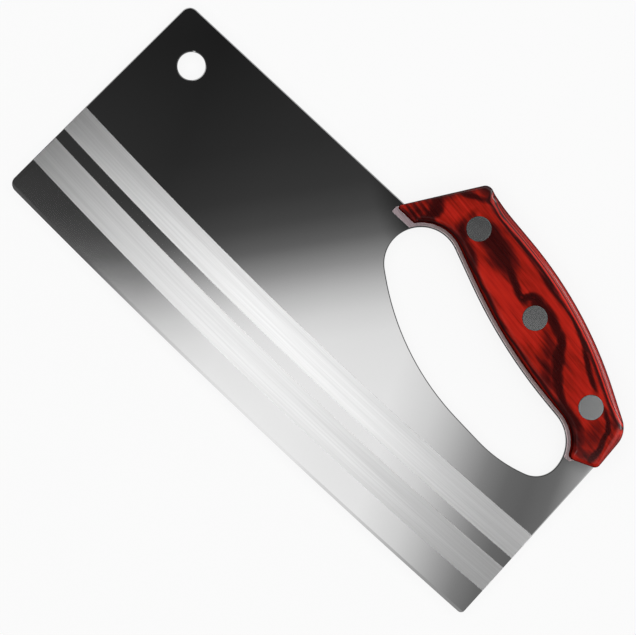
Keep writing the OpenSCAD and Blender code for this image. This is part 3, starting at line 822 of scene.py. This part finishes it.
def stage_plane(name, width, depth, centre, material_name):
    """A rectangle of the studio."""
    mesh = bmesh.new()
    bmesh.ops.create_grid(mesh, x_segments=1, y_segments=1, size=0.5,
                          matrix=Matrix.Diagonal((width, depth, 1.0, 1.0)))
    return stage_object(name, mesh, centre, material_name)


def only_reflections(thing):
    """Leaves a thing of the studio visible to reflections alone."""
    for ray in HIDDEN_FROM:
        setattr(thing, "visible_" + ray, False)


print("hidden, for reflections alone, from:", ", ".join(HIDDEN_FROM))

# %% [markdown]
# ## Floor
#
# The floor is a pale sheet of paper. A matt white would come out grey under plain light, so where
# the camera or a reflection looks at it, most of it is its own white, and the rest is the light
# that falls on it, which keeps the shadow of the knife.

# %% Pale floor
FLOOR_SIZE = 6.0  # in metres
FLOOR_GAP = 0.05 * MM  # between the knife and the floor, so that their faces don't fall together
OWN_WHITE = 0.88

floor, tree = stage_plane(
    "floor", FLOOR_SIZE, FLOOR_SIZE, (0.0, 0.0, -FLOOR_GAP), "pale_floor")
path = add_node(tree, "LightPath")
clear = add_node(tree, "Math", {
    0: path.outputs["Is Camera Ray"], 1: path.outputs["Is Transmission Ray"]}, operation="MAXIMUM")
seen = add_node(tree, "Math", {
    0: clear.outputs[0], 1: path.outputs["Is Glossy Ray"]}, operation="MAXIMUM")
share = add_node(tree, "Math", {0: seen.outputs[0], 1: OWN_WHITE}, operation="MULTIPLY")
matt = add_node(tree, "BsdfDiffuse", {"Color": linear("#F4F4F4")})
white = add_node(tree, "Emission", {"Color": linear("#FCFCFC"), "Strength": 1.0})
mixed = add_node(tree, "MixShader", {0: share.outputs[0], 1: matt.outputs[0], 2: white.outputs[0]})
add_node(tree, "OutputMaterial", {"Surface": mixed.outputs[0]})
print(floor.name, "is", FLOOR_SIZE, "m wide")

# %% [markdown]
# ## Card over the knife
#
# The card hangs a little above the camera. A flat mirror shows each point of it at one point of
# the picture, so the card's gradients are written in the picture's pixels, counted from its centre
# to the right and up. One gradient runs from the dark far end of the blade down to its bright
# middle, another from there to the dim heel, and their product is what the polished steel shows.

# %% Gradients of the card
CARD_HEIGHT = 1000 * MM
CARD_WIDTH, CARD_DEPTH = 886 * MM, 806 * MM
CARD_OFFSET = Vector((-69 * MM, -109 * MM))  # from the picture's centre to the card's
PIXEL = 0.48 * MM  # one pixel of the picture at the sheet
MIRROR = 1 + (CARD_HEIGHT - SHEET_MIDDLE) / CAMERA_DISTANCE  # a card's size against its image's
DOWN_FROM, DOWN_TO, DOWN_LEAN = 300.0, -100.0, -0.167
RIGHT_FROM, RIGHT_TO, RIGHT_LEAN = -350.0, 350.0, -0.374

card_centre = (picture_centre.x + CARD_OFFSET.x, picture_centre.y + CARD_OFFSET.y, CARD_HEIGHT)
card, tree = stage_plane("reflection_card", CARD_WIDTH, CARD_DEPTH, card_centre, "graded_card")
only_reflections(card)
card_position = add_node(tree, "TexCoord").outputs["Object"]
pixels = add_node(tree, "Mapping", {
    "Vector": card_position,
    "Location": (-CARD_OFFSET.x, -CARD_OFFSET.y, 0.0),
    "Rotation": (0.0, 0.0, CAMERA_TURN),
    "Scale": (MIRROR * PIXEL, MIRROR * PIXEL, 1.0)}, vector_type="TEXTURE").outputs[0]
axes = add_node(tree, "SeparateXYZ", {"Vector": pixels})
down = add_node(tree, "Math", {
    0: axes.outputs["X"], 1: DOWN_LEAN, 2: axes.outputs["Y"]}, operation="MULTIPLY_ADD")
down_share = add_node(tree, "MapRange", {
    "Value": down.outputs[0], "From Min": DOWN_FROM, "From Max": DOWN_TO})
down_light = add_node(tree, "ValToRGB", {"Fac": down_share.outputs["Result"]}, stops=[
    (0.0, 0.0175), (0.3, 0.031), (0.425, 0.044), (0.5, 0.071), (0.5625, 0.135), (0.625, 0.3175),
    (0.6875, 0.586), (0.75, 0.8), (0.8125, 0.92), (0.875, 0.958), (1.0, 1.0)])
right = add_node(tree, "Math", {
    0: axes.outputs["Y"], 1: RIGHT_LEAN, 2: axes.outputs["X"]}, operation="MULTIPLY_ADD")
right_share = add_node(tree, "MapRange", {
    "Value": right.outputs[0], "From Min": RIGHT_FROM, "From Max": RIGHT_TO})
right_light = add_node(tree, "ValToRGB", {"Fac": right_share.outputs["Result"]}, stops=[
    (0.0, 1.0), (0.214, 0.64), (0.357, 0.765), (0.5, 0.769), (0.571, 0.745), (0.643, 0.735),
    (0.714, 0.592), (0.75, 0.467), (0.786, 0.32), (0.821, 0.194), (0.857, 0.124), (0.893, 0.105),
    (0.929, 0.128), (0.964, 0.29), (1.0, 1.5)])
level = add_node(tree, "VectorMath", {
    0: down_light.outputs["Color"], 1: right_light.outputs["Color"]}, operation="MULTIPLY")
print("the card is", round(MIRROR, 2), "times as large as its image")

# %% [markdown]
# ## Black flag over the grip
#
# Lacquer is a weak mirror, and a bright card over the grip would lay a grey veil on the red wood.
# A black flag, drawn into the card as a soft ellipse over the grip, keeps the lacquer clear.

# %% Flag
FLAG_CENTRE = (205.0, 0.0, 0.0)  # this and the size are in the picture's pixels
FLAG_SIZE = (230.0, 75.0, 1.0)
FLAG_TURN = -51.4

flag_place = add_node(tree, "Mapping", {
    "Vector": pixels,
    "Location": FLAG_CENTRE,
    "Rotation": (0.0, 0.0, math.radians(FLAG_TURN)),
    "Scale": FLAG_SIZE}, vector_type="TEXTURE")
flag = add_node(tree, "TexGradient", {"Vector": flag_place.outputs[0]}, gradient_type="SPHERICAL")
flagged = add_node(tree, "MapRange", {
    "Value": flag.outputs["Fac"], "From Max": 0.3, "To Min": 1.57, "To Max": 0.02})
shaded = add_node(tree, "VectorMath", {
    0: level.outputs[0], "Scale": flagged.outputs["Result"]}, operation="SCALE")
print("the flag's length in mm:", round(FLAG_SIZE[0] * MIRROR * PIXEL / MM))

# %% [markdown]
# ## Bright strip beside the mirror's view
#
# The satin bands spread reflections wide across the sheet, and so they also see what the polished
# steel doesn't. A bright strip along the card, out beyond the cutting edge, lies out of the
# mirror's sight and only lights the bands, which is why they are brighter than the steel round
# them.

# %% Strip and light of the card
STRIP_GAIN = 3.4
STRIP_START, STRIP_FULL = -50 * MM, -60 * MM

aligned = add_node(tree, "SeparateXYZ", {"Vector": card_position})
strip_share = add_node(tree, "MapRange", {
    "Value": aligned.outputs["X"], "From Min": -CARD_WIDTH / 2, "From Max": CARD_WIDTH / 2})
strip = add_node(tree, "ValToRGB", {"Fac": strip_share.outputs["Result"]}, stops=[
    (0.17, 0.015), (0.284, 0.54), (0.397, 0.93), (0.511, 1.0), (0.625, 0.719), (0.739, 0.72),
    (0.852, 0.28), (0.93, 0.0)])
strip_glow = add_node(tree, "VectorMath", {
    0: strip.outputs["Color"], "Scale": STRIP_GAIN}, operation="SCALE")
beside = add_node(tree, "MapRange", {
    "Value": aligned.outputs["Y"], "From Min": STRIP_START, "From Max": STRIP_FULL})
lit = add_node(tree, "Mix", {
    0: beside.outputs["Result"], 6: shaded.outputs[0], 7: strip_glow.outputs[0]}, data_type="RGBA")
glow = add_node(tree, "Emission", {"Color": lit.outputs[2], "Strength": 1.0})
add_node(tree, "OutputMaterial", {"Surface": glow.outputs[0]})
print(card.name, "has", len(tree.nodes), "nodes")

# %% [markdown]
# ## Card for the cutting bevel
#
# The cutting bevel leans out, so it mirrors a place far beside the large card. Without a card there
# it would be a dark line, so it gets a narrow one with the same run from dim to bright to dim.

# %% Bevel card
BEVEL_CARD_WIDTH, BEVEL_CARD_DEPTH = 800 * MM, 92 * MM
BEVEL_CARD_CENTRE = (14 * MM, -669 * MM, CARD_HEIGHT)

bevel_card, tree = stage_plane(
    "bevel_card", BEVEL_CARD_WIDTH, BEVEL_CARD_DEPTH, BEVEL_CARD_CENTRE, "graded_bevel_card")
only_reflections(bevel_card)
bevel_position = add_node(tree, "TexCoord").outputs["Object"]
bevel_place = add_node(tree, "SeparateXYZ", {"Vector": bevel_position})
bevel_share = add_node(tree, "MapRange", {
    "Value": bevel_place.outputs["X"],
    "From Min": -BEVEL_CARD_WIDTH / 2, "From Max": BEVEL_CARD_WIDTH / 2})
bevel_light = add_node(tree, "ValToRGB", {"Fac": bevel_share.outputs["Result"]}, stops=[
    (0.12, 0.11), (0.183, 0.174), (0.241, 0.398), (0.298, 0.693), (0.356, 0.89), (0.414, 1.08),
    (0.471, 1.17), (0.529, 1.21), (0.586, 1.17), (0.644, 0.98), (0.7, 0.94), (0.759, 0.77),
    (0.816, 0.54), (0.9, 0.35)])
bevel_glow = add_node(tree, "Emission", {"Color": bevel_light.outputs["Color"], "Strength": 1.0})
add_node(tree, "OutputMaterial", {"Surface": bevel_glow.outputs[0]})
print(bevel_card.name, "runs along", round(BEVEL_CARD_WIDTH / MM), "mm")

# %% [markdown]
# ## Tent
#
# Everything else that the knife reflects is a tent over the set. Its walls are black at the
# bottom, which draws the dark lines round the rims, grey at the height that the blade shows in
# views from the sides, so that it looks like bright steel there too, and black again above.

# %% Dark tent
TENT_SIZE = 2.9  # in metres
TENT_MIDDLE = 1.2  # height of its middle, in metres

tent_mesh = bmesh.new()
bmesh.ops.create_cube(tent_mesh, size=TENT_SIZE)
tent, tree = stage_object("dark_tent", tent_mesh, (0.0, 0.0, TENT_MIDDLE), "black_cloth")
only_reflections(tent)
wall_position = add_node(tree, "TexCoord").outputs["Object"]
wall_place = add_node(tree, "SeparateXYZ", {"Vector": wall_position})
wall_share = add_node(tree, "MapRange", {
    "Value": wall_place.outputs["Z"], "From Min": -TENT_SIZE / 2, "From Max": TENT_SIZE / 2})
wall = add_node(tree, "ValToRGB", {"Fac": wall_share.outputs["Result"]}, stops=[
    (0.1, 0.05), (0.15, 0.1), (0.22, 0.5), (0.3, 0.72), (0.47, 0.72), (0.55, 0.3), (0.62, 0.07)])
dim = add_node(tree, "Emission", {"Color": wall.outputs["Color"], "Strength": 1.0})
add_node(tree, "OutputMaterial", {"Surface": dim.outputs[0]})
print(tent.name, "is", TENT_SIZE, "m wide")

# %% [markdown]
# ## Light
#
# A long soft box behind the grip draws the thin light along its back. A wide one overhead lights
# the wood and lays the soft shadow. In reflections the card stands in for that one, so it is hidden
# there.

# %% Lamps
def soft_box(name, place, width, height, watts):
    """A rectangular lamp that looks at the middle of the knife."""
    data = bpy.data.lights.new(name, "AREA")
    data.shape = "RECTANGLE"
    data.size = width
    data.size_y = height
    data.energy = watts
    lamp = bpy.data.objects.new(name, data)
    lamp.location = place
    lamp.rotation_euler = (picture_centre - Vector(place)).to_track_quat("-Z", "Y").to_euler()
    bpy.context.scene.collection.objects.link(lamp)
    return lamp


behind = soft_box("soft_box_behind", (0.8, 1.2, 0.22), 1.2, 0.42, 4.8)
overhead = soft_box("soft_box_overhead", (0.0, 0.0, 1.15), 1.2, 1.2, 10.0)
overhead.visible_glossy = False
print("lamps:", behind.name, overhead.name)

# %% [markdown]
# ## World
#
# The world fills the shadows at a plain low level. The camera sees it paler than that, like the
# floor, or a low view would show a grey band beyond the floor's far side.

# %% World
world = bpy.data.worlds.new("studio")
bpy.context.scene.world = world
world.use_nodes = True
tree = world.node_tree
tree.nodes.clear()
path = add_node(tree, "LightPath")
fill = add_node(tree, "Background", {"Color": linear("#FFFFFF"), "Strength": 0.4})
pale = add_node(tree, "Background", {"Color": linear("#FCFCFC"), "Strength": 1.0})
surroundings = add_node(tree, "MixShader", {
    0: path.outputs["Is Camera Ray"], 1: fill.outputs[0], 2: pale.outputs[0]})
add_node(tree, "OutputWorld", {"Surface": surroundings.outputs[0]})
bpy.context.scene.view_settings.view_transform = "Standard"
print("strength of the fill light:", fill.inputs["Strength"].default_value)
